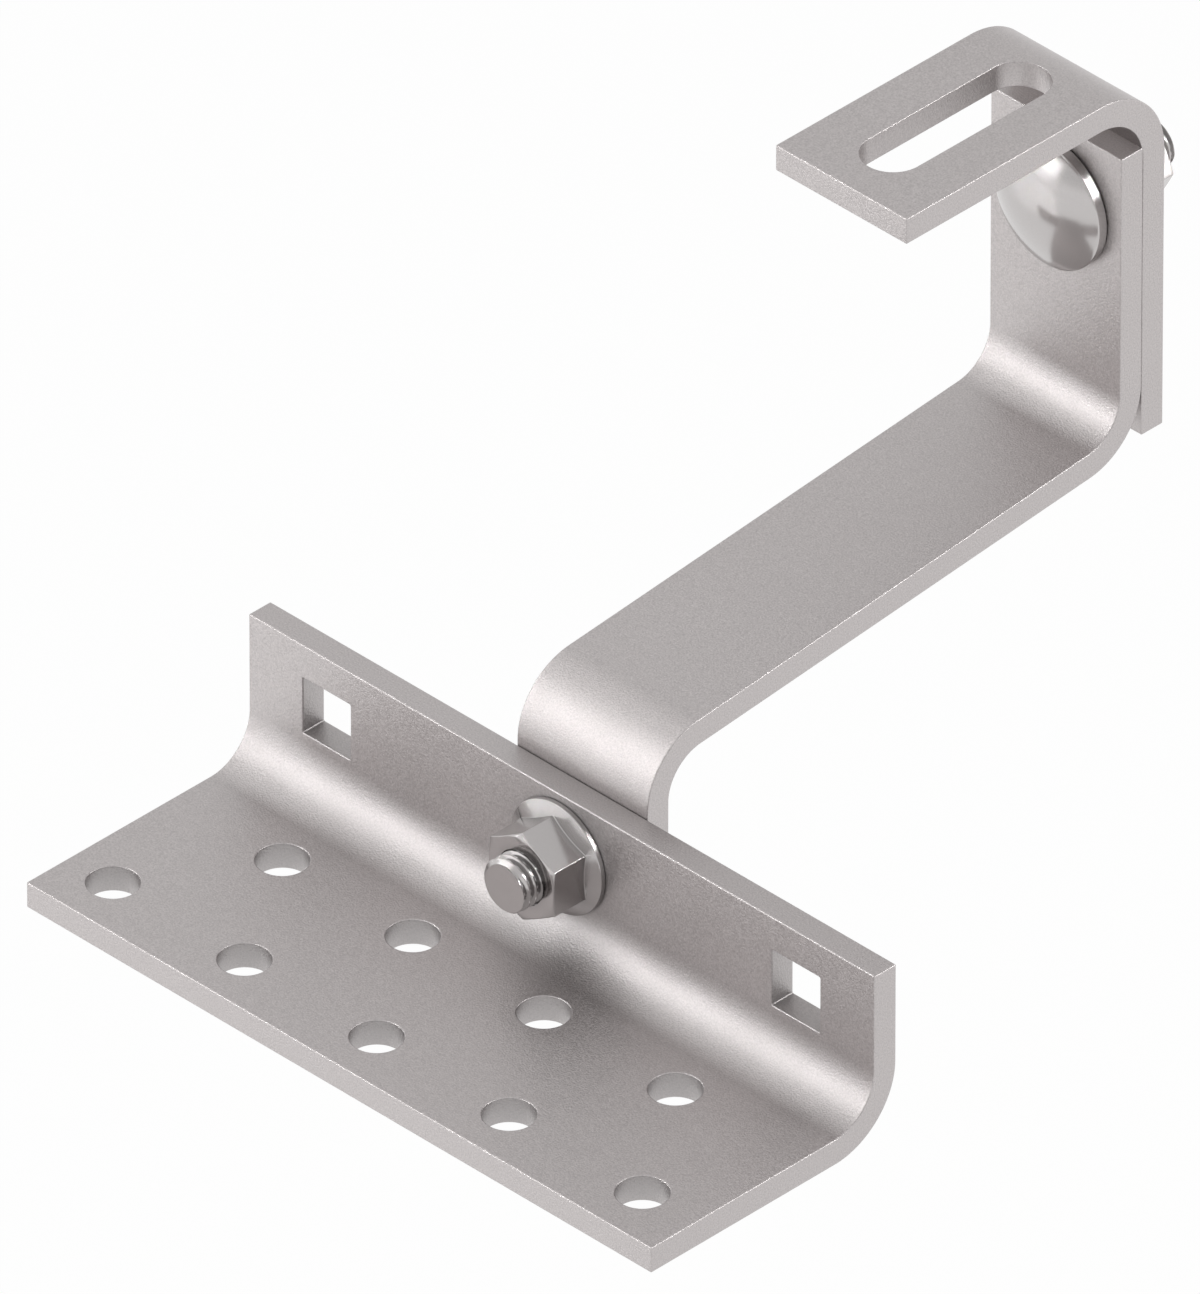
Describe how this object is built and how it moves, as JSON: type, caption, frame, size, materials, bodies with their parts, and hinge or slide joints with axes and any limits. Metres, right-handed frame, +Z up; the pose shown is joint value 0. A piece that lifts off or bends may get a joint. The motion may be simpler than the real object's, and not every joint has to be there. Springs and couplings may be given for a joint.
{
  "type": "solar roof hook",
  "caption": "Height-adjustable solar roof hook: bent base plate with screw holes, stepped arm and slotted rail bracket, joined by carriage bolts and flange nuts.",
  "frame": {"origin": "middle of the flat underside of the base plate, where it rests on the rafter", "axes": "+X along the base plate, +Y from the base plate towards the rail bracket, +Z up away from the roof"},
  "size_m": [0.144, 0.1884, 0.1225],
  "materials": {
    "plate_steel": "satin, fine grain",
    "fastener_steel": "bright, smooth"
  },
  "bodies": {
    "root": {"base_plate": "plate_steel", "hook_arm": "plate_steel", "top_bracket": "plate_steel", "base_bolt": "fastener_steel", "base_nut": "fastener_steel", "bracket_bolt": "fastener_steel", "bracket_nut": "fastener_steel"}
  },
  "joints": []
}
